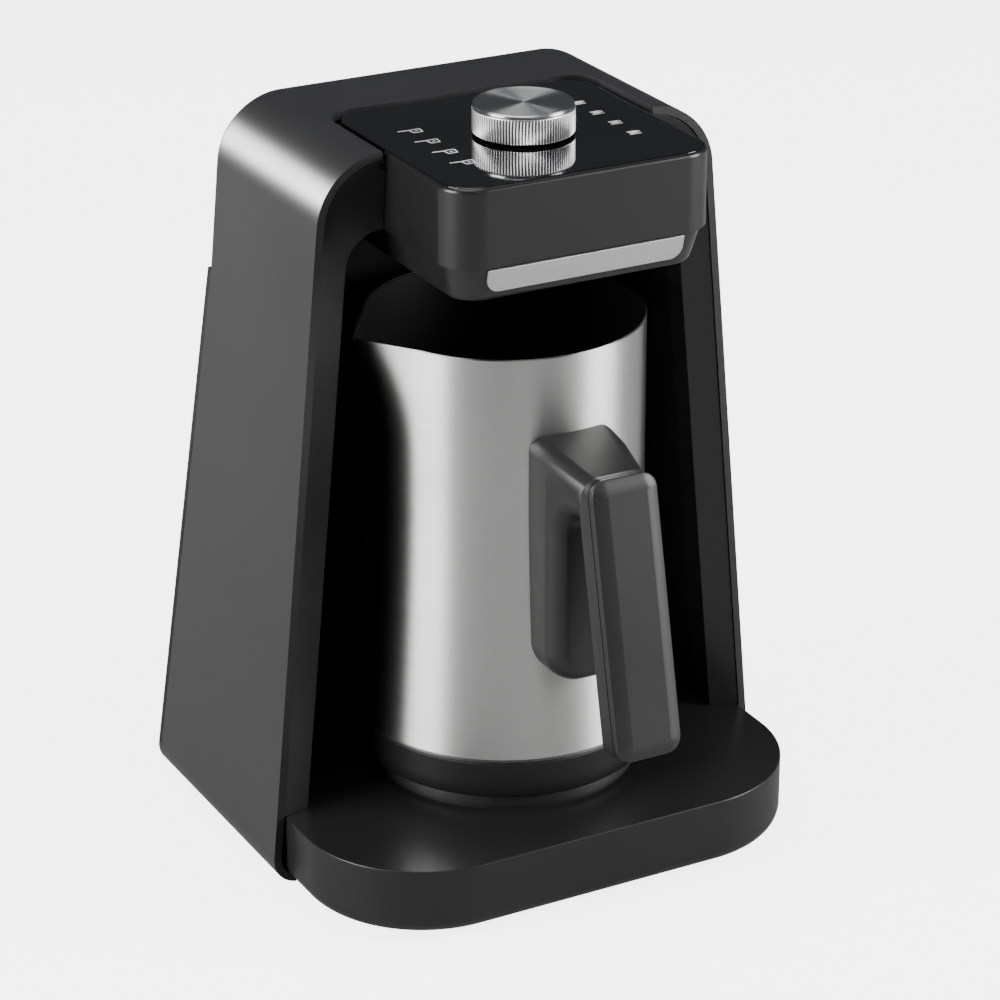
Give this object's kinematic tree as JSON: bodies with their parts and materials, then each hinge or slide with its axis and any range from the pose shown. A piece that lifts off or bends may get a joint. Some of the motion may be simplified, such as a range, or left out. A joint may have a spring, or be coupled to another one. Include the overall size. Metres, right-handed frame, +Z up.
{
  "type": "coffee maker",
  "caption": "electric Turkish coffee maker with a brushed steel jug that lifts out of the bay, a push-and-turn knob, and a black tapered housing with a glass control panel",
  "frame": {"origin": "on the floor under the feet, under the middle of the part's bounding box (the handle included)", "axes": "+Z up; -Y towards the user, where the jug's handle points; +X to the user's right"},
  "size_m": [0.173, 0.1738, 0.2441],
  "materials": {
    "black_plastic": "satin",
    "dark_plastic": "matte",
    "handle_plastic": "satin",
    "ring_plastic": "gloss",
    "plunger_plastic": "matte",
    "black_rubber": "matte",
    "red_silicone": "matte",
    "wire_red": "satin",
    "plate_coat": "satin",
    "element_steel": "satin",
    "screw_steel": "satin",
    "jug_steel": "brushed",
    "pan_aluminium": "satin",
    "knob_aluminium": "spun",
    "trim_silver": "brushed",
    "sensor_brass": "satin",
    "board_green": "satin",
    "led_white": "gloss",
    "window_red": "gloss",
    "black_glass": "gloss"
  },
  "bodies": {
    "machine": {"outer_shell": "black_plastic", "front_frame": "black_plastic", "cavity_liner": "dark_plastic", "bay_back_panel": "dark_plastic", "back_cover": "black_plastic", "back_cover_screws": "screw_steel", "cord_gland": "black_rubber", "base_tray": "black_plastic", "base_bottom": "dark_plastic", "base_screws": "screw_steel", "foot_front_left": "black_rubber", "foot_front_right": "black_rubber", "foot_back_left": "black_rubber", "foot_back_right": "black_rubber", "heater_plate": "plate_coat", "plate_seal": "red_silicone", "heating_element": "element_steel", "reflector_pan": "pan_aluminium", "temperature_sensor": "sensor_brass", "power_board": "board_green", "wiring_harness": "wire_red", "head_housing": "black_plastic", "panel_carrier": "dark_plastic", "control_glass": "black_glass", "control_board": "board_green", "board_screws": "screw_steel", "icon_leds": "led_white", "buzzer": "dark_plastic", "encoder_body": "dark_plastic", "switch_dome": "sensor_brass", "hood_lower": "black_plastic", "trim_strip": "trim_silver", "foam_sensor": "dark_plastic", "sensor_window": "window_red"},
    "plunger": {"encoder_plunger": "plunger_plastic"},
    "knob": {"encoder_shaft": "screw_steel", "knob_core": "dark_plastic", "knob_skirt": "knob_aluminium", "knob_cap": "knob_aluminium"},
    "jug": {"jug_body": "jug_steel", "jug_base_ring": "ring_plastic", "jug_heat_base": "pan_aluminium", "handle_bracket": "screw_steel", "handle_body": "handle_plastic", "handle_cover": "handle_plastic", "handle_screws": "screw_steel"}
  },
  "joints": [
    {"name": "knob_press", "type": "slide", "parent": "machine", "child": "plunger", "axis": [0, 0, -1], "range_m": [0, 0.0008], "stiffness_N_per_m": 3000, "springref_m": -0.0002, "deforming": ["switch_dome"]},
    {"name": "knob_spin", "type": "hinge", "parent": "plunger", "child": "knob", "pos_m": [0, -0.006, 0.24], "axis": [0, 0, 1], "continuous": true},
    {"name": "jug_slide", "type": "slide", "parent": "machine", "child": "jug", "axis": [0, -1, 0], "range_m": [0, 0.24]}
  ]
}
